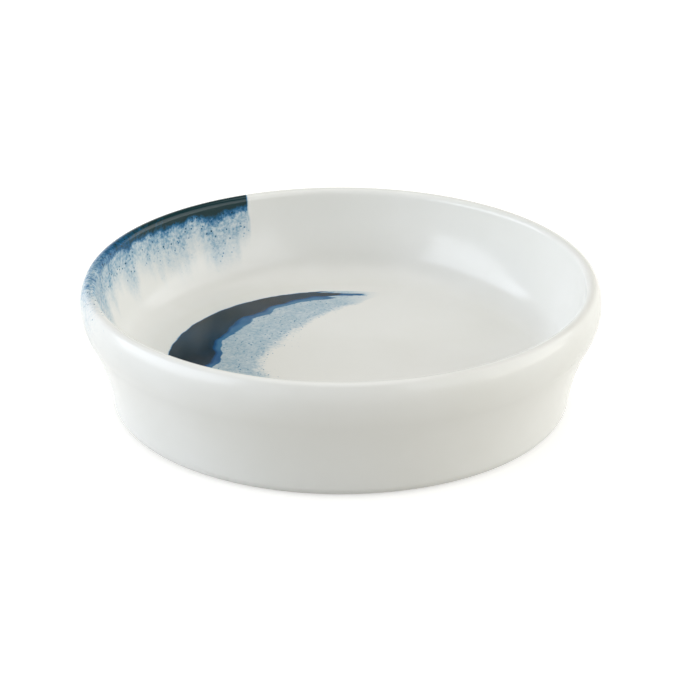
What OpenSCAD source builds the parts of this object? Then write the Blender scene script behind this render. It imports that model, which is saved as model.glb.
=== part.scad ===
// Small round sauce dish in glazed porcelain, fired as one piece.
// The clay body flares from a bare foot ring to a thick rounded rim. A glass coat runs from the
// outside of the foot over the rim and across the well, and a second coat lines the hollow base.
// The coloured glazes of the decoration lie flush in the coat and take its full thickness.
// Z is up. The origin is the centre of the foot ring, on the table. All sizes are millimetres.

/* [Body] */
// Diameter at the widest line of the rim, over the glaze
outer_d = 100; // [90:1:120]
// Height of the crest of the rim above the table
height = 25; // [22:0.5:30]
// Level thickness of the wall where the waist turns into the shoulder
wall_t = 3.3; // [2.8:0.1:4.2]
// Thickness of the floor, from the hollow base to the well
floor_t = 4.9; // [3.5:0.1:6]

/* [Rim] */
// Height of the crest above the widest line
lip_h = 3.6; // [3:0.1:4.5]
// How far the crest lies inside the widest line
lip_w = 1.85; // [1.6:0.05:2.2]
// Radius of the crest
crest_r = 1.2; // [0.9:0.05:1.4]
// Radius of the shoulder, under the widest line
shoulder_r = 11; // [8:0.5:15]

/* [Wall] */
// Radius of the drawn-in waist on the outside of the wall
waist_r = 42; // [32:1:60]
// Radius of the slight bow of the wall inside the well
bow_r = 38; // [30:1:60]
// Radius of the round between the wall and the floor of the well
well_round = 7.5; // [5:0.5:9]

/* [Foot] */
// How far the foot stands inside the widest line
foot_inset = 5.8; // [4:0.1:8]
// Radius of the round on the outside of the foot ring
foot_round = 2.3; // [1.6:0.1:3]
// Width of the flat that the foot ring stands on
foot_flat = 1.8; // [1.2:0.1:3]
// Radius of the round on the inside of the foot ring
ring_round = 1.5; // [1.2:0.1:2]
// Height of the hollow base above the table
recess_h = 3.2; // [2.6:0.1:4]
// Radius of the round between the foot ring and the hollow base
recess_round = 2.5; // [1.5:0.1:3]
// Lean of the foot ring's inner side from the vertical, in degrees
recess_lean = 30; // [20:1:35]

/* [Glaze] */
// Thickness of the glaze
glaze_t = 0.3; // [0.2:0.05:0.4]
// Angle below level at which both coats stop on the rounds of the foot ring
glaze_line = 45; // [40:1:50]

/* [Decoration] */
// Gap between the crescent and the round of the well
crescent_gap = 3.5; // [1:0.5:8]
// Greatest width of the dark crescent
dark_w = 9; // [5:0.5:12]
// Greatest width of the pale crescent inside it
pale_w = 13; // [6:0.5:18]
// Angle from the middle of the crescents to their tips
crescent_reach = 95; // [85:1:120]
// Direction of the middle of the crescents, seen from above
crescent_at = 168; // [0:1:359]
// Depth of the coloured stroke on the rim, below the crest
stroke_h = 6; // [4:0.5:8]
// Angle that the stroke on the rim covers
stroke_sweep = 96; // [40:1:160]
// Direction of the middle of the stroke on the rim, seen from above
stroke_at = 160; // [0:1:359]

/* [Hidden] */
$fn = 144;
// Longest chord and widest step along an arc of the profile
chord = 1.2;
arc_step = 10;
// Points of an outline that lie closer than this are one point
same_point = 0.001;
// How far a cut runs past what it cuts
overrun = 1;
outer_r = outer_d / 2;
floor_z = recess_h + floor_t;

// The profile is a chain of arcs, each tangent to the next, measured over the glaze
foot_out_r = foot_round + glaze_t;
foot_c = [outer_r - foot_inset - foot_out_r, foot_round];
shoulder_c = [outer_r - shoulder_r, height - lip_h];
waist_c = meet(foot_c, waist_r + foot_out_r, shoulder_c, waist_r + shoulder_r);
// The side of the lip is upright at the widest line and runs into the crest
lip_side_r = (pow(lip_w, 2) + pow(lip_h - crest_r, 2) - pow(crest_r, 2)) / (2 * (lip_w - crest_r));
lip_c = [outer_r - lip_side_r, height - lip_h];
crest_c = [outer_r - lip_w, height - crest_r];
// The inner wall touches the crest and passes wall_t inside the turn of the outer wall
wall_turn = shoulder_c + shoulder_r * unit(heading(shoulder_c, waist_c));
wall_in = wall_turn - [wall_t, 0];
bow_c = meet(crest_c, bow_r + crest_r, wall_in, bow_r);
well_z = floor_z + well_round;
well_c = [bow_c.x + sqrt(pow(bow_r - well_round, 2) - pow(well_z - bow_c.y, 2)), well_z];
// The hollow base starts inside the flat of the foot ring
ring_out_r = ring_round + glaze_t;
ring_c = [foot_c.x - foot_flat, ring_round];
recess_z = recess_h - recess_round;
recess_reach = ring_c * unit(recess_lean) - ring_out_r - recess_round;
recess_c = [(recess_reach - recess_z * sin(recess_lean)) / cos(recess_lean), recess_z];

// Each arc is its centre, its radius over the glaze, 1 if it bulges or -1 if it is hollow,
// and the angles where it starts and ends
coat_arcs = [
    [foot_c, foot_out_r, 1, -glaze_line, heading(foot_c, waist_c)],
    [waist_c, waist_r, -1, heading(waist_c, foot_c), heading(waist_c, shoulder_c)],
    [shoulder_c, shoulder_r, 1, heading(shoulder_c, waist_c), 0],
    [lip_c, lip_side_r, 1, 0, heading(lip_c, crest_c)],
    [crest_c, crest_r, 1, heading(lip_c, crest_c), heading(crest_c, bow_c)],
    [bow_c, bow_r, -1, heading(bow_c, crest_c), heading(bow_c, well_c)],
    [well_c, well_round, -1, heading(bow_c, well_c), -90],
];
base_arcs = [
    [recess_c, recess_round, -1, 90, recess_lean],
    [ring_c, ring_out_r, 1, 180 + recess_lean, 180 + glaze_line],
];
bare_outside = [[foot_c, foot_out_r, 1, -90, -glaze_line]];
bare_inside = [[ring_c, ring_out_r, 1, 180 + glaze_line, 270]];

// The crescents lie between circles that all pass through the same two tips
crescent_r = well_c.x - crescent_gap;
tip_x = -crescent_r * cos(crescent_reach);

function unit(a) = [cos(a), sin(a)];
function heading(from, to) = atan2(to.y - from.y, to.x - from.x);
function reversed(p) = [for (i = [len(p) - 1:-1:0]) p[i]];

// Point at distance r1 from p and r2 from q, on the right of the way from p to q
function meet(p, r1, q, r2) =
    let (d = norm(q - p))
    let (along = (r1 * r1 - r2 * r2 + d * d) / (2 * d))
    let (across = sqrt(r1 * r1 - along * along))
    let (way = (q - p) / d)
    p + along * way + across * [way.y, -way.x];

// Points along one arc, at a depth under the surface of the glaze
function arc_points(a, depth) =
    let (span = a[4] - a[3])
    let (steps = ceil(max(abs(span) / arc_step, a[1] * abs(span) * PI / 180 / chord)))
    [for (i = [0:steps]) a[0] + (a[1] - a[2] * depth) * unit(a[3] + span * i / steps)];

// Points along a chain of arcs, with each shared end kept once
function path(arcs, depth) =
    let (all_points = [for (a = arcs) each arc_points(a, depth)])
    [for (i = [0:len(all_points) - 1])
        if (i == 0 || norm(all_points[i] - all_points[max(i - 1, 0)]) > same_point) all_points[i]];

// How far the circle that leaves a crescent w wide stands off the centre of the dish
function crescent_shift(w) =
    (pow(crescent_r, 2) - pow(crescent_r - w, 2)) / (2 * (crescent_r - w + tip_x));

// The clay body: foot ring, flared wall, rounded rim and floor
module porcelain_body() {
    profile = concat(
        path(concat(bare_outside, coat_arcs), glaze_t),
        [[0, floor_z - glaze_t], [0, recess_h + glaze_t]],
        path(concat(base_arcs, bare_inside), glaze_t)
    );
    color("oldlace")
        rotate_extrude()
            polygon(profile);
}

// The whole coat over the outside, the rim and the well, before the colours are let in
module full_coat() {
    rotate_extrude()
        polygon(concat(
            path(coat_arcs, 0),
            [[0, floor_z], [0, floor_z - glaze_t]],
            reversed(path(coat_arcs, glaze_t))
        ));
}

// Disc inside the inner edge of a crescent w wide
module crescent_disc(w) {
    rotate(crescent_at - 180)
        translate([crescent_shift(w), 0])
            circle(crescent_shift(w) + crescent_r - w);
}

// A crescent on the floor of the well, from one width to another, through the glaze and past it
module crescent(outer_w, inner_w, past) {
    translate([0, 0, floor_z - glaze_t - past])
        linear_extrude(height = glaze_t + 2 * past)
            difference() {
                crescent_disc(outer_w);
                crescent_disc(inner_w);
            }
}

// The sector of the rim that the coloured stroke covers
module stroke_sector() {
    inner_edge = crest_c.x - wall_t - overrun;
    rotate(stroke_at - stroke_sweep / 2)
        rotate_extrude(angle = stroke_sweep)
            translate([inner_edge, height - stroke_h])
                square([outer_r + overrun - inner_edge, stroke_h + overrun]);
}

// The white glaze over the outside, the rim and the well
module glaze_coat() {
    color("white")
        difference() {
            full_coat();
            crescent(0, dark_w + pale_w, overrun);
            stroke_sector();
        }
}

// The white glaze inside the hollow base
module base_glaze() {
    color("whitesmoke")
        rotate_extrude()
            polygon(concat(
                [[0, recess_h + glaze_t], [0, recess_h]],
                path(base_arcs, 0),
                reversed(path(base_arcs, glaze_t))
            ));
}

// The dark brushed crescent on the floor of the well
module dark_crescent() {
    color("darkslategray")
        crescent(0, dark_w, 0);
}

// The pale crescent that follows the inner edge of the dark one
module pale_crescent() {
    color("lightsteelblue")
        crescent(dark_w, dark_w + pale_w, 0);
}

// The coloured stroke that wraps over part of the rim
module rim_stroke() {
    color("midnightblue")
        intersection() {
            full_coat();
            stroke_sector();
        }
}

porcelain_body();
glaze_coat();
base_glaze();
dark_crescent();
pale_crescent();
rim_stroke();
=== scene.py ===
import math

import bmesh
import bpy
from mathutils import Matrix, Vector
from mathutils.kdtree import KDTree


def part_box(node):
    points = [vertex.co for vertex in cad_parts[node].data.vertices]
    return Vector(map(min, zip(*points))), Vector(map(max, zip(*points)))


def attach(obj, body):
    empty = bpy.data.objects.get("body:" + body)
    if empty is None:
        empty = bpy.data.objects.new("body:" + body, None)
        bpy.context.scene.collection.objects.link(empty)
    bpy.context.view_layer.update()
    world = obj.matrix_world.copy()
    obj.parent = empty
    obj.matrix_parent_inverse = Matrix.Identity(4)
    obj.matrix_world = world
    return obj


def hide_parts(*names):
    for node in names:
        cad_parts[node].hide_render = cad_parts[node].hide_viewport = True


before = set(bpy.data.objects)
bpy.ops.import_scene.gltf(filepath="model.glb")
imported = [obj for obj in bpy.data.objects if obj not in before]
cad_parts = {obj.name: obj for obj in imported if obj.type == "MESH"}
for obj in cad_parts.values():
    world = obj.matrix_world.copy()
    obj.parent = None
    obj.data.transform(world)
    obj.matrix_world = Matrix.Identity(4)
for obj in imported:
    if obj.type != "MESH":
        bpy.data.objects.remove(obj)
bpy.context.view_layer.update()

# Body, as in the part's source
OUTER_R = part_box("glaze_coat")[1].x
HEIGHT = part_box("glaze_coat")[1].z
WALL_T = 0.0033
FLOOR_T = 0.0049
LIP_H = 0.0036
LIP_W = 0.00185
CREST_R = 0.0012
SHOULDER_R = 0.011
WAIST_R = 0.042
BOW_R = 0.038
WELL_ROUND = 0.0075
FOOT_INSET = 0.0058
FOOT_ROUND = 0.0023
FOOT_FLAT = 0.0018
RING_ROUND = 0.0015
RECESS_H = 0.0032
RECESS_ROUND = 0.0025
RECESS_LEAN = 30
GLAZE_T = 0.0003
GLAZE_LINE = 45

# Decoration, as in the part's source
CRESCENT_GAP = 0.0035
DARK_W = 0.009
PALE_W = 0.013
CRESCENT_REACH = 95
CRESCENT_AT = 168
STROKE_H = 0.006
STROKE_SWEEP = 96
STROKE_AT = 160

# Fineness of the meshes
ROUND_STEPS = 240
ARC_LENGTH = 0.0006
ARC_TURN = 6
PLAN_TURN = 1.5
SAME_POINT = 1e-6

# Angles past which an edge is sharp, and under which a face follows the whole surface
SHARP_EDGE = 35
SAME_FACING = 20


# Profile of the dish, as points (distance from the axis, height)

def unit(angle):
    return Vector((math.cos(math.radians(angle)), math.sin(math.radians(angle))))


def heading(start, end):
    return math.degrees(math.atan2(end.y - start.y, end.x - start.x))


def meet(p, r1, q, r2):
    """Point at distance r1 from p and r2 from q, on the right of the way from p to q."""
    way = q - p
    along = (r1 * r1 - r2 * r2 + way.length_squared) / (2 * way.length)
    across = math.sqrt(r1 * r1 - along * along)
    way.normalize()
    return p + along * way + across * Vector((way.y, -way.x))


FLOOR_Z = RECESS_H + FLOOR_T
FOOT_OUT_R = FOOT_ROUND + GLAZE_T
FOOT_C = Vector((OUTER_R - FOOT_INSET - FOOT_OUT_R, FOOT_ROUND))
SHOULDER_C = Vector((OUTER_R - SHOULDER_R, HEIGHT - LIP_H))
WAIST_C = meet(FOOT_C, WAIST_R + FOOT_OUT_R, SHOULDER_C, WAIST_R + SHOULDER_R)
LIP_SIDE_R = (LIP_W**2 + (LIP_H - CREST_R) ** 2 - CREST_R**2) / (2 * (LIP_W - CREST_R))
LIP_C = Vector((OUTER_R - LIP_SIDE_R, HEIGHT - LIP_H))
CREST_C = Vector((OUTER_R - LIP_W, HEIGHT - CREST_R))
WALL_TURN = SHOULDER_C + SHOULDER_R * unit(heading(SHOULDER_C, WAIST_C))
BOW_C = meet(CREST_C, BOW_R + CREST_R, WALL_TURN - Vector((WALL_T, 0)), BOW_R)
WELL_Z = FLOOR_Z + WELL_ROUND
WELL_C = Vector((BOW_C.x + math.sqrt((BOW_R - WELL_ROUND) ** 2 - (WELL_Z - BOW_C.y) ** 2), WELL_Z))
RING_OUT_R = RING_ROUND + GLAZE_T
RING_C = Vector((FOOT_C.x - FOOT_FLAT, RING_ROUND))
RECESS_Z = RECESS_H - RECESS_ROUND
RECESS_REACH = RING_C.dot(unit(RECESS_LEAN)) - RING_OUT_R - RECESS_ROUND
LEAN = math.radians(RECESS_LEAN)
RECESS_C = Vector(((RECESS_REACH - RECESS_Z * math.sin(LEAN)) / math.cos(LEAN), RECESS_Z))


def cut_at(arc, level):
    """One arc as two that meet at a height."""
    centre, radius, bulge, start, end = arc
    middle = math.degrees(math.asin((level - centre.y) / radius))
    return [(centre, radius, bulge, start, middle), (centre, radius, bulge, middle, end)]


# Each arc is its centre, its radius over the glaze, 1 if it bulges or -1 if it is hollow,
# and the angles where it starts and ends
STROKE_Z = HEIGHT - STROKE_H
SHOULDER = (SHOULDER_C, SHOULDER_R, 1, heading(SHOULDER_C, WAIST_C), 0)
BOW = (BOW_C, BOW_R, -1, heading(BOW_C, CREST_C), heading(BOW_C, WELL_C))
COAT_ARCS = [
    (FOOT_C, FOOT_OUT_R, 1, -GLAZE_LINE, heading(FOOT_C, WAIST_C)),
    (WAIST_C, WAIST_R, -1, heading(WAIST_C, FOOT_C), heading(WAIST_C, SHOULDER_C)),
    *cut_at(SHOULDER, STROKE_Z),
    (LIP_C, LIP_SIDE_R, 1, 0, heading(LIP_C, CREST_C)),
    (CREST_C, CREST_R, 1, heading(LIP_C, CREST_C), heading(CREST_C, BOW_C)),
    *cut_at(BOW, STROKE_Z),
    (WELL_C, WELL_ROUND, -1, heading(BOW_C, WELL_C), -90),
]
BASE_ARCS = [
    (RECESS_C, RECESS_ROUND, -1, 90, RECESS_LEAN),
    (RING_C, RING_OUT_R, 1, 180 + RECESS_LEAN, 180 + GLAZE_LINE),
]
BARE_OUTSIDE = [(FOOT_C, FOOT_OUT_R, 1, -90, -GLAZE_LINE)]
BARE_INSIDE = [(RING_C, RING_OUT_R, 1, 180 + GLAZE_LINE, 270)]


# Meshes

def upright(point):
    return Vector((point.x, 0, point.y))


def carry(bm, vert, centre, axis, angle, steps):
    """Carries a vertex round a centre, leaves its path behind, and returns the last vertex."""
    turned = bmesh.ops.spin(
        bm, geom=[vert], cent=centre, axis=axis, angle=math.radians(angle), steps=steps,
        use_merge=False,
    )
    return [g for g in turned["geom_last"] if isinstance(g, bmesh.types.BMVert)][0]


def draw_arcs(bm, pen, arcs, depth):
    """Draws a chain of arcs of the profile, at a depth under the glaze, and returns its last vertex."""
    for centre, radius, bulge, start, end in arcs:
        reach = radius - bulge * depth
        corner = upright(centre + reach * unit(start))
        if pen is None:
            pen = bm.verts.new(corner)
        elif (pen.co - corner).length > SAME_POINT:
            pen = draw_line(bm, pen, corner)
        span = end - start
        steps = math.ceil(max(math.radians(abs(span)) * reach / ARC_LENGTH, abs(span) / ARC_TURN))
        pen = carry(bm, pen, upright(centre), (0, 1, 0), -span, steps)
    return pen


def draw_line(bm, pen, corner):
    pen = bmesh.ops.extrude_vert_indiv(bm, verts=[pen])["verts"][0]
    pen.co = corner
    return pen


def revolve(bm, line, start_at):
    """Turns a drawn line round the axis of the dish, starting in one direction, and closes it."""
    turn = Matrix.Rotation(math.radians(start_at), 3, "Z")
    bmesh.ops.rotate(bm, verts=line, cent=(0, 0, 0), matrix=turn)
    edges = list(dict.fromkeys(e for v in line for e in v.link_edges))
    bmesh.ops.spin(
        bm, geom=line + edges, cent=(0, 0, 0), axis=(0, 0, 1), angle=math.tau, steps=ROUND_STEPS,
        use_merge=True,
    )
    turned = list(dict.fromkeys(v for f in bm.faces for v in f.verts))
    bmesh.ops.remove_doubles(bm, verts=turned, dist=SAME_POINT)
    bmesh.ops.recalc_face_normals(bm, faces=bm.faces[:])


def new_piece(name, bm, material, slot, *nodes):
    """Makes a piece of the dish from a bmesh, and hides the CAD nodes it stands for."""
    mesh = bpy.data.meshes.new(name)
    bm.to_mesh(mesh)
    bm.free()
    mesh.materials.append(material)
    mesh.shade_smooth()
    mesh.set_sharp_from_angle(angle=math.radians(SHARP_EDGE))
    piece = bpy.data.objects.new(name, mesh)
    bpy.context.scene.collection.objects.link(piece)
    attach(piece, "root")
    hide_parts(*nodes)
    return piece


def crescent_shift(width):
    """How far the circle that leaves a crescent that wide stands off the centre of the dish."""
    left = CRESCENT_R - width
    return (CRESCENT_R**2 - left**2) / (2 * (left + TIP_X))


CRESCENT_R = WELL_C.x - CRESCENT_GAP
TIP_X = -CRESCENT_R * math.cos(math.radians(CRESCENT_REACH))


def tip_arc(bm, number, width, far=False):
    """Draws one circle of the crescents, from tip to tip past the middle or round the far side, and
    puts a number on its edges."""
    mark = bm.edges.layers.int["arc"]
    centre = -crescent_shift(width) * unit(CRESCENT_AT)
    start = CRESCENT_R * unit(CRESCENT_AT + CRESCENT_REACH)
    end = CRESCENT_R * unit(CRESCENT_AT - CRESCENT_REACH)
    if far:
        start, end = end, start
    turn = (heading(centre, end) - heading(centre, start)) % 360 - 360
    before = set(bm.edges)
    pen = bm.verts.new((start.x, start.y, FLOOR_Z))
    carry(bm, pen, (centre.x, centre.y, FLOOR_Z), (0, 0, 1), turn, round(abs(turn) / PLAN_TURN))
    for edge in set(bm.edges) - before:
        edge[mark] = number


WHITE, DARK, PALE, STROKE = range(4)


def glaze_surface():
    """The finished surface of the coat, with a number on each face for the glaze that it belongs to."""
    bm = bmesh.new()
    glaze_of = bm.faces.layers.int.new("glaze")
    mark = bm.edges.layers.int.new("arc")
    near, far, between, inner = range(1, 5)
    tip_arc(bm, near, 0)
    tip_arc(bm, far, 0, far=True)
    tip_arc(bm, between, DARK_W)
    tip_arc(bm, inner, DARK_W + PALE_W)
    bmesh.ops.remove_doubles(bm, verts=bm.verts[:], dist=SAME_POINT)
    plan = set(bm.verts)
    draw_arcs(bm, None, COAT_ARCS, 0)
    revolve(bm, [v for v in bm.verts if v not in plan], STROKE_AT - STROKE_SWEEP / 2)
    for face in bm.faces:
        middle = face.calc_center_median()
        off = (math.degrees(math.atan2(middle.y, middle.x)) - STROKE_AT + 180) % 360 - 180
        if middle.z > STROKE_Z and abs(off) < STROKE_SWEEP / 2:
            face[glaze_of] = STROKE
    arcs = {n: [e for e in bm.edges if e[mark] == n] for n in (near, far, between, inner)}
    well_edge = [e for e in bm.edges if e.is_boundary and e.verts[0].co.z > FLOOR_Z / 2]
    bmesh.ops.triangle_fill(bm, edges=well_edge + arcs[near] + arcs[far], use_beauty=True)
    for glaze, one, other in ((DARK, near, between), (PALE, between, inner), (WHITE, inner, far)):
        for face in bmesh.ops.contextual_create(bm, geom=arcs[one] + arcs[other])["faces"]:
            face[glaze_of] = glaze
    bmesh.ops.recalc_face_normals(bm, faces=bm.faces[:])
    bm.normal_update()
    return bm


def thicken(bm, normals):
    """Gives a skin the thickness of the glaze, into the clay."""
    bm.normal_update()
    under = bmesh.ops.extrude_face_region(bm, geom=bm.faces[:], use_keep_orig=True)["geom"]
    for vert in under:
        if isinstance(vert, bmesh.types.BMVert):
            vert.co -= GLAZE_T * normals[vert.co.to_tuple()]
    bmesh.ops.recalc_face_normals(bm, faces=bm.faces[:])


def glaze_piece(surface, glaze, name, material, slot, node):
    """The part of the coat that has one glaze, cut from the whole surface and given its thickness."""
    bm = surface.copy()
    glaze_of = bm.faces.layers.int["glaze"]
    normals = {v.co.to_tuple(): v.normal.copy() for v in bm.verts}
    bmesh.ops.delete(bm, geom=[f for f in bm.faces if f[glaze_of] != glaze], context="FACES")
    thicken(bm, normals)
    return new_piece(name, bm, material, slot, node)


def flow_shading(piece, surface):
    """Shades a cut piece as the whole surface is shaded, so that no seam shows in the gloss."""
    tree = KDTree(len(surface.verts))
    for i, vert in enumerate(surface.verts):
        tree.insert(vert.co, i)
    tree.balance()
    normals = [v.normal.copy() for v in surface.verts]
    mesh = piece.data
    wanted = [normals[tree.find(v.co)[1]] for v in mesh.vertices]
    own = [Vector(n.vector) for n in mesh.corner_normals]
    close = math.cos(math.radians(SAME_FACING))
    for loop, normal in zip(mesh.loops, own):
        whole = wanted[loop.vertex_index]
        if abs(normal.dot(whole)) > close:
            own[loop.index] = whole if normal.dot(whole) > 0 else -whole
    mesh.normals_split_custom_set(own)


# Materials

def paint(red, green, blue):
    """A colour given as it shows on screen, from 0 to 255, as the linear colour that nodes take."""
    shares = [value / 255 for value in (red, green, blue)]
    return (*[s / 12.92 if s <= 0.04045 else ((s + 0.055) / 1.055) ** 2.4 for s in shares], 1)


def put(tree, kind, inputs=None, **settings):
    """Adds a node, sets it up, and wires or fills its inputs."""
    made = tree.nodes.new("ShaderNode" + kind)
    for name, value in settings.items():
        setattr(made, name, value)
    for key, value in (inputs or {}).items():
        if isinstance(value, bpy.types.NodeSocket):
            tree.links.new(value, made.inputs[key])
        else:
            made.inputs[key].default_value = value
    return made


def calc(tree, operation, *values):
    return put(tree, "Math", dict(enumerate(values)), operation=operation).outputs[0]


def plus(tree, first, *more):
    for value in more:
        first = calc(tree, "ADD", first, value)
    return first


def minus(tree, first, second):
    return calc(tree, "SUBTRACT", first, second)


def times(tree, first, *more):
    for value in more:
        first = calc(tree, "MULTIPLY", first, value)
    return first


def parts(tree, vector):
    """The three parts of a vector or colour."""
    return put(tree, "SeparateXYZ", {0: vector}).outputs


def ease(tree, value, low, high, to_low=0.0, to_high=1.0):
    """Eases a value between two levels."""
    inputs = {"Value": value, 1: low, 2: high, 3: to_low, 4: to_high}
    return put(tree, "MapRange", inputs, interpolation_type="SMOOTHSTEP").outputs[0]


def noise(tree, place, per_mm, detail=2.0, rough=0.5):
    inputs = {"Vector": place, "Scale": per_mm, "Detail": detail, "Roughness": rough}
    return put(tree, "TexNoise", inputs).outputs


def blend(tree, factor, first, second, blend_type="MIX"):
    made = put(tree, "Mix", {0: factor, 6: first, 7: second}, data_type="RGBA", blend_type=blend_type)
    return made.outputs[2]


def ramp(tree, factor, stops):
    made = put(tree, "ValToRGB", {0: factor})
    points = made.color_ramp.elements
    while len(points) < len(stops):
        points.new(0.5)
    for point, (place, colour) in zip(points, stops):
        point.position = place
        point.color = colour
    return made.outputs[0]


def group(name, outputs):
    """A new node group that takes a place on the piece, with its input and its output node."""
    tree = bpy.data.node_groups.new(name, "ShaderNodeTree")
    tree.interface.new_socket("Place", in_out="INPUT", socket_type="NodeSocketVector")
    for key, kind in outputs.items():
        tree.interface.new_socket(key, in_out="OUTPUT", socket_type="NodeSocket" + kind)
    return tree, tree.nodes.new("NodeGroupInput").outputs[0], tree.nodes.new("NodeGroupOutput")


def send(tree, end, **values):
    for key, value in values.items():
        tree.links.new(value, end.inputs[key])


def use(tree, effect, place):
    made = tree.nodes.new("ShaderNodeGroup")
    made.node_tree = effect
    tree.links.new(place, made.inputs[0])
    return made.outputs


def in_mm(tree, place, turn=0.0):
    """The place in millimetres, turned so that one direction of the dish lies along X."""
    inputs = {"Vector": place, "Scale": (1000, 1000, 1000), "Rotation": (0, 0, math.radians(-turn))}
    return put(tree, "Mapping", inputs).outputs[0]


def length_to(tree, place, x=0.0):
    """Distance in plan from a point on the X axis."""
    flat = put(tree, "VectorMath", {0: place, 1: (1, 1, 0)}, operation="MULTIPLY").outputs[0]
    return put(tree, "VectorMath", {0: flat, 1: (x, 0, 0)}, operation="DISTANCE").outputs["Value"]


def shifted(tree, place, wobble, amount):
    """The place moved about by a noise colour."""
    centred = put(tree, "VectorMath", {0: wobble, 1: (0.5,) * 3}, operation="SUBTRACT").outputs[0]
    moved = put(tree, "VectorMath", {0: centred, 1: (amount,) * 3}, operation="MULTIPLY").outputs[0]
    return put(tree, "VectorMath", {0: place, 1: moved}, operation="ADD").outputs[0]


def speckle_effect():
    """Fine flecks, as where a thin wash of colour breaks up in the melting glaze."""
    tree, place, end = group("wash_speckle", {"Flecks": "Float"})
    fine = minus(tree, noise(tree, place, 1.6, 3.0, 0.7)[0], 0.5)
    mottle = minus(tree, noise(tree, place, 0.4, 2.0)[0], 0.5)
    grain = put(tree, "TexVoronoi", {"Vector": place, "Scale": 1.4, "Randomness": 1.0}).outputs
    # Half of the grains are specks, and few of these are dark
    darkness = ease(tree, parts(tree, grain["Color"])[0], 0.5, 1.0, 0.0, 0.8)
    specks = times(tree, ease(tree, grain["Distance"], 0.34, 0.1), darkness)
    flecks = plus(tree, times(tree, fine, 0.95), times(tree, mottle, 0.5), specks)
    send(tree, end, Flecks=flecks)
    return tree


def bristle_effect():
    """Streaks along the way of the brush, for strokes that run round the dish."""
    tree, place, end = group("bristle_streaks", {"Streaks": "Float"})
    axes = parts(tree, place)
    around = times(tree, calc(tree, "ARCTAN2", axes[1], axes[0]), 4.0)
    along = put(tree, "CombineXYZ", {0: around, 1: length_to(tree, place), 2: axes[2]}).outputs[0]
    send(tree, end, Streaks=noise(tree, along, 0.62, 2.5)[0])
    return tree


def painted(tree, stops, load):
    return ramp(tree, load, [(place, paint(*colour)) for place, colour in stops])


# Colours of the stroke from bare glaze to full load, which the glaze's own tone is multiplied by
WASH = [
    (0.0, (255, 255, 255)), (0.14, (238, 243, 247)), (0.32, (214, 228, 238)),
    (0.48, (152, 188, 214)), (0.6, (72, 134, 180)),
]
CRESCENT_INK = WASH + [(0.72, (0, 86, 148)), (0.84, (0, 50, 76)), (1.0, (12, 24, 26))]
RIM_INK = WASH + [(0.72, (0, 94, 146)), (0.86, (0, 76, 104)), (1.0, (0, 50, 56))]


def crescent_effect():
    """Two brushed crescents on the floor of the well: a dark stroke with a cobalt edge, and the pale
    speckled wash that bleeds out of its inner side."""
    tree, place, end = group("brushed_crescents", {"Stain": "Color"})
    mm = in_mm(tree, place, CRESCENT_AT)
    axes = parts(tree, mm)
    around = calc(tree, "ABSOLUTE", calc(tree, "ARCTAN2", axes[1], axes[0]))
    waved = shifted(tree, mm, noise(tree, mm, 0.09, 2.0)[1], 9.0)
    crisp = shifted(tree, mm, noise(tree, mm, 0.35, 3.0)[1], 0.7)

    def inside(where, width):
        """How far a place lies inside the circle that leaves a crescent that wide."""
        shift = crescent_shift(width) * 1000
        radius = shift + (CRESCENT_R - width) * 1000
        return minus(tree, radius, length_to(tree, where, -shift))

    edge = ease(tree, inside(crisp, 0), -0.15, 0.35)
    past_dark = inside(waved, DARK_W)
    past_pale = inside(waved, DARK_W + PALE_W)
    flecks = use(tree, EFFECTS["speckle"], mm)[0]
    streaks = use(tree, EFFECTS["bristle"], mm)[0]

    # The stroke ends in a crisp line of cobalt, and its ink deepens behind that line
    past_line = minus(tree, past_dark, times(tree, flecks, 0.5))
    line = ease(tree, past_line, 0.4, -0.3, 0.0, 0.72)
    dark = plus(tree, line, ease(tree, past_dark, -0.9, -2.6, 0.0, 0.28))
    # The brush runs dry towards the tips, and the ink pools in places
    tip = math.radians(CRESCENT_REACH)
    dry = times(tree, ease(tree, around, math.radians(48), tip), 0.62)
    bristles = ease(tree, minus(tree, streaks, dry), -0.02, 0.12)
    depth = ease(tree, noise(tree, mm, 0.11, 2.0)[0], 0.35, 0.65, 0.84, 0.98)
    stroke = times(tree, dark, bristles, depth)
    # The wash breaks off in flecks on its inner side
    room = calc(tree, "MAXIMUM", minus(tree, past_dark, past_pale), 0.01)
    across = calc(tree, "DIVIDE", past_dark, room)
    fade = ease(tree, minus(tree, across, times(tree, flecks, 0.3)), 0.95, 0.7)
    tips = ease(tree, around, tip - math.radians(2), tip - math.radians(16))
    wash = times(tree, plus(tree, 0.38, times(tree, flecks, 0.36)), fade, tips)
    load = times(tree, calc(tree, "MAXIMUM", stroke, wash), edge)
    send(tree, end, Stain=painted(tree, CRESCENT_INK, calc(tree, "MAXIMUM", load, 0.0)))
    return tree


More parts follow.
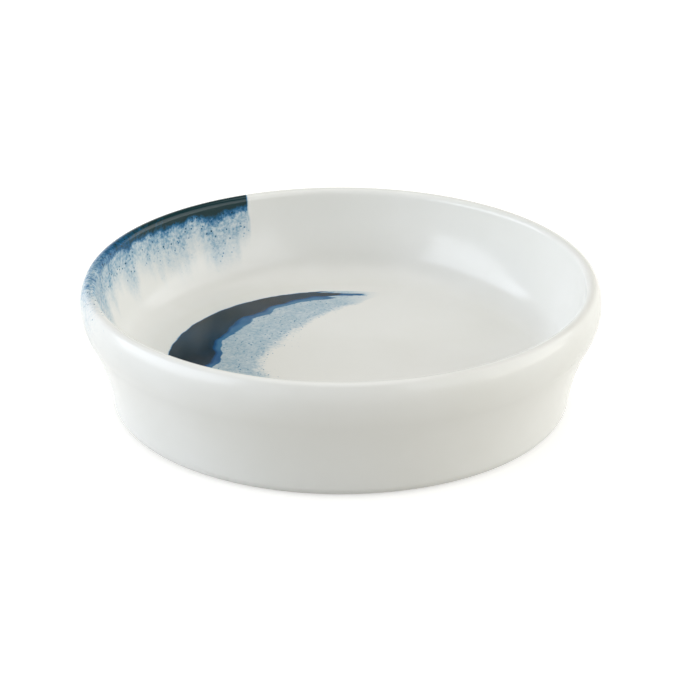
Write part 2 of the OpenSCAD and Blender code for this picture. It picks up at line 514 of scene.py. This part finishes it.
def rim_effect():
    """A loaded stroke wrapped over the rim. It sets off crisp and dark at one end, and thins to
    speckle along the rim and down the wall."""
    tree, place, end = group("brushed_rim", {"Stain": "Color"})
    mm = in_mm(tree, place, STROKE_AT)
    flecks = use(tree, EFFECTS["speckle"], mm)[0]
    rim_mm = CREST_C.x * 1000
    half = math.radians(STROKE_SWEEP / 2)
    length = 2 * half * rim_mm
    axes = parts(tree, shifted(tree, mm, noise(tree, mm, 0.12, 2.0)[1], 3.0))
    along = times(tree, plus(tree, calc(tree, "ARCTAN2", axes[1], axes[0]), half), rim_mm)
    down = minus(tree, HEIGHT * 1000, parts(tree, mm)[2])
    # The middle of the wall leans in by 0.3 on its way down, and the stroke is short outside
    from_middle = plus(tree, length_to(tree, mm), times(tree, down, 0.3))
    outside = ease(tree, from_middle, rim_mm, rim_mm + 0.8)
    reach = minus(tree, 1.0, times(tree, outside, 0.5))
    # Runs in the wash are long down the wall and narrow round it
    run_place = put(tree, "CombineXYZ", {0: along, 1: outside, 2: times(tree, down, 0.12)}).outputs[0]
    runs = noise(tree, run_place, 0.16, 2.0)[0]
    fall = calc(tree, "DIVIDE", down, times(tree, reach, ease(tree, runs, 0.3, 0.75, 0.6, 1.4)))
    spent = ease(tree, plus(tree, along, times(tree, runs, 16.0)), 14.0, length)
    body = minus(tree, ease(tree, fall, 7.0, 1.2, 0.0, 0.8), times(tree, spent, 0.5))
    crest = times(tree, ease(tree, fall, 2.6, 1.2, 0.0, 0.4), minus(tree, 1.0, spent))
    wash = ease(tree, fall, 15.0, 3.0, 0.0, 0.45)
    speck = times(tree, flecks, 0.7, ease(tree, fall, 15.0, 5.0))
    far = plus(tree, minus(tree, length, along), times(tree, flecks, 14.0))
    ends = times(tree, ease(tree, along, 1.2, 1.9), ease(tree, far, 2.0, 22.0))
    window = times(tree, ends, ease(tree, down, 15.0, 10.0))
    load = times(tree, plus(tree, calc(tree, "MAXIMUM", body, wash), crest, speck), window)
    send(tree, end, Stain=painted(tree, RIM_INK, calc(tree, "MAXIMUM", load, 0.0)))
    return tree


def porcelain_effect():
    """What the white glaze shows all over: slow changes of tone and gloss, rare pinholes, and a faint
    ripple."""
    tree, place, end = group("glazed_porcelain", {"Tone": "Color", "Gloss": "Float", "Ripple": "Float"})
    mm = in_mm(tree, place)
    cloud = noise(tree, mm, 0.05, 3.0)[0]
    tone = blend(tree, ease(tree, cloud, 0.3, 0.7), paint(238, 237, 232), paint(241, 240, 236))
    spots = put(tree, "TexVoronoi", {"Vector": mm, "Scale": 0.16, "Randomness": 1.0}).outputs
    pin = ease(tree, spots["Distance"], 0.035, 0.015)
    rare = ease(tree, parts(tree, spots["Color"])[0], 0.8, 0.85)
    tone = blend(tree, times(tree, pin, rare, 0.35), tone, paint(150, 138, 120))
    ripple = plus(tree, noise(tree, mm, 0.07, 1.0)[0], times(tree, noise(tree, mm, 0.7, 2.0)[0], 0.05))
    send(tree, end, Tone=tone, Gloss=ease(tree, cloud, 0.2, 0.8, 0.15, 0.19), Ripple=ripple)
    return tree


def new_material(name):
    material = bpy.data.materials.new(name)
    material.use_nodes = True
    tree = material.node_tree
    tree.nodes.clear()
    shader = put(tree, "BsdfPrincipled")
    tree.links.new(shader.outputs[0], tree.nodes.new("ShaderNodeOutputMaterial").inputs[0])
    return material, tree, shader, put(tree, "TexCoord").outputs["Object"]


RIPPLE = 0.000012
GLAZE_IOR = 1.42


def glaze_material(name, painted_with):
    """White glaze, coloured by the named strokes."""
    material, tree, shader, place = new_material(name)
    skin = use(tree, EFFECTS["porcelain"], place)
    colour = skin["Tone"]
    for effect in painted_with:
        colour = blend(tree, 1.0, colour, use(tree, EFFECTS[effect], place)["Stain"], "MULTIPLY")
    bump = put(tree, "Bump", {"Height": skin["Ripple"], "Strength": 1.0, "Distance": RIPPLE})
    send(tree, shader, **{"Base Color": colour, "Roughness": skin["Gloss"], "Normal": bump.outputs[0]})
    shader.inputs["IOR"].default_value = GLAZE_IOR
    return material


def bisque_material():
    """Bare fired clay, rubbed smoother and greyer where the foot ring stands."""
    material, tree, shader, place = new_material("bare_fired_clay")
    mm = in_mm(tree, place)
    grain = noise(tree, mm, 2.2, 5.0, 0.65)[0]
    worn = ease(tree, parts(tree, mm)[2], 0.25, 0.0)
    colour = blend(tree, grain, paint(214, 207, 190), paint(236, 231, 219))
    colour = blend(tree, times(tree, worn, 0.4), colour, paint(196, 188, 172))
    bump = put(tree, "Bump", {"Height": grain, "Strength": 0.6, "Distance": 0.00004})
    rough = minus(tree, 0.82, times(tree, worn, 0.25))
    send(tree, shader, **{"Base Color": colour, "Roughness": rough, "Normal": bump.outputs[0]})
    return material


EFFECTS = {}
for effect_name, make in (
    ("speckle", speckle_effect), ("bristle", bristle_effect), ("crescent", crescent_effect),
    ("rim", rim_effect), ("porcelain", porcelain_effect),
):
    EFFECTS[effect_name] = make()

brushed_glaze = glaze_material("brushed_glaze", ("crescent", "rim"))
plain_glaze = glaze_material("plain_glaze", ())
fired_clay = bisque_material()


# The dish

def clay_body():
    """The clay under the glaze, with its bare foot ring."""
    bm = bmesh.new()
    pen = draw_arcs(bm, None, BARE_OUTSIDE + COAT_ARCS, GLAZE_T)
    pen = draw_line(bm, pen, upright(Vector((0, FLOOR_Z - GLAZE_T))))
    pen = bm.verts.new((0, 0, RECESS_H + GLAZE_T))
    pen = draw_arcs(bm, pen, BASE_ARCS + BARE_INSIDE, GLAZE_T)
    draw_line(bm, pen, upright(Vector((FOOT_C.x, 0))))
    revolve(bm, bm.verts[:], 0)
    return new_piece("clay_body", bm, fired_clay, "bare_porcelain", "porcelain_body")


def hollow_glaze():
    """The coat inside the hollow base."""
    bm = bmesh.new()
    pen = bm.verts.new((0, 0, RECESS_H))
    draw_arcs(bm, pen, BASE_ARCS, 0)
    revolve(bm, bm.verts[:], 0)
    bmesh.ops.reverse_faces(bm, faces=[f for f in bm.faces if f.normal.z > 0])
    bm.normal_update()
    thicken(bm, {v.co.to_tuple(): v.normal.copy() for v in bm.verts})
    return new_piece("hollow_glaze_skin", bm, plain_glaze, "white_glaze", "base_glaze")


surface = glaze_surface()
for glaze, name, slot, node in (
    (WHITE, "white_glaze_skin", "white_glaze", "glaze_coat"),
    (DARK, "dark_glaze_crescent", "indigo_glaze", "dark_crescent"),
    (PALE, "pale_glaze_crescent", "pale_blue_glaze", "pale_crescent"),
    (STROKE, "rim_glaze_stroke", "teal_glaze", "rim_stroke"),
):
    piece = glaze_piece(surface, glaze, name, brushed_glaze, slot, node)
    flow_shading(piece, surface)
surface.free()
clay_body()
hollow_glaze()


# Floor, light and camera

FLOOR_HALF = 0.9
FLOOR_DROP = 0.00002
FLOOR_COLOUR = (0.61, 0.6, 0.57, 1)
FLOOR_GLOW = 0.58


def seen(tree):
    """1 for the rays that show a thing to the camera, straight or by way of gloss or glass."""
    path = put(tree, "LightPath").outputs
    mirrored = calc(tree, "MAXIMUM", path["Is Glossy Ray"], path["Is Transmission Ray"])
    return calc(tree, "MAXIMUM", path["Is Camera Ray"], mirrored)


def floor_material():
    material, tree, shader, place = new_material("pale_floor")
    shader.inputs["Base Color"].default_value = FLOOR_COLOUR
    shader.inputs["Roughness"].default_value = 0.9
    shader.inputs["Specular IOR Level"].default_value = 0.0
    shader.inputs["Emission Color"].default_value = (1, 1, 1, 1)
    tree.links.new(times(tree, seen(tree), FLOOR_GLOW), shader.inputs["Emission Strength"])
    return material


bm = bmesh.new()
bmesh.ops.create_grid(bm, x_segments=1, y_segments=1, size=FLOOR_HALF)
bmesh.ops.translate(bm, verts=bm.verts[:], vec=(0, 0, -FLOOR_DROP))
floor_mesh = bpy.data.meshes.new("floor")
bm.to_mesh(floor_mesh)
bm.free()
floor_mesh.materials.append(floor_material())
floor = bpy.data.objects.new("floor", floor_mesh)
bpy.context.scene.collection.objects.link(floor)


def softbox(name, azimuth, elevation, distance, width, height, level, colour):
    """A flat soft lamp that faces the dish, from a direction seen from above (0 is +X, 90 is +Y). At
    level 1 its face is as bright as white."""
    lamp = bpy.data.lights.new(name, "AREA")
    lamp.shape = "RECTANGLE"
    lamp.size, lamp.size_y = width, height
    lamp.energy = level * math.pi * width * height
    lamp.color = colour
    holder = bpy.data.objects.new(name, lamp)
    flat = unit(azimuth) * math.cos(math.radians(elevation))
    back = Vector((flat.x, flat.y, math.sin(math.radians(elevation))))
    holder.location = Vector((0, 0, FLOOR_Z)) + back * distance
    holder.rotation_euler = back.to_track_quat("Z", "Y").to_euler()
    bpy.context.scene.collection.objects.link(holder)


# Azimuth and elevation, distance, width and height, level, colour
softbox("left_softbox", 191, 22, 1.2, 1.47, 0.64, 3.95, (0.82, 0.89, 1.0))
softbox("right_softbox", -15, 29.5, 1.2, 2.24, 0.9, 1.85, (0.94, 0.97, 1.0))
softbox("overhead_softbox", 90, 85, 1.2, 1.0, 1.0, 1.25, (1.0, 0.99, 0.96))
softbox("left_card", 188, 3, 0.6, 0.5, 0.1, 2.4, (0.87, 0.93, 1.0))
softbox("right_card", -8, 3, 0.6, 0.5, 0.1, 2.8, (1.0, 0.99, 0.92))


def studio_world():
    """A dim warm room, lighter behind the dish and beside it. What is seen of it is a white sweep that
    darkens overhead."""
    world = bpy.data.worlds.new("studio")
    world.use_nodes = True
    tree = world.node_tree
    tree.nodes.clear()
    way = parts(tree, put(tree, "TexCoord").outputs["Generated"])
    behind = calc(tree, "POWER", calc(tree, "MAXIMUM", way[1], 0.0), 2.0)
    beside = calc(tree, "POWER", calc(tree, "ABSOLUTE", way[0]), 2.0)
    level = plus(tree, times(tree, behind, 0.55), times(tree, beside, 0.1), 0.16)
    room = put(tree, "Background", {"Color": (1, 0.95, 0.78, 1), "Strength": level})
    overhead = ease(tree, way[2], 0.15, 0.55, 1.0, 0.2)
    sweep = put(tree, "Background", {"Color": (1, 1, 1, 1), "Strength": overhead})
    both = put(tree, "MixShader", {0: seen(tree), 1: room.outputs[0], 2: sweep.outputs[0]})
    tree.links.new(both.outputs[0], tree.nodes.new("ShaderNodeOutputWorld").inputs[0])
    return world


bpy.context.scene.world = studio_world()

AIM = Vector((0, 0, 0.0119))
DISTANCE = 0.6
TILT = math.radians(23.82)
LENS_MM = 164.2
SENSOR_MM = 36
# The dish lies a little off the middle of the picture
SHIFT = (-0.0015, 0.0007)
lens = bpy.data.cameras.new("camera")
lens.sensor_width = SENSOR_MM
lens.lens = LENS_MM
lens.shift_x, lens.shift_y = SHIFT
camera = bpy.data.objects.new("camera", lens)
camera.location = AIM + DISTANCE * Vector((0, -math.cos(TILT), math.sin(TILT)))
camera.rotation_euler = (math.pi / 2 - TILT, 0, 0)
bpy.context.scene.collection.objects.link(camera)
bpy.context.scene.camera = camera
bpy.context.scene.view_settings.view_transform = "Standard"
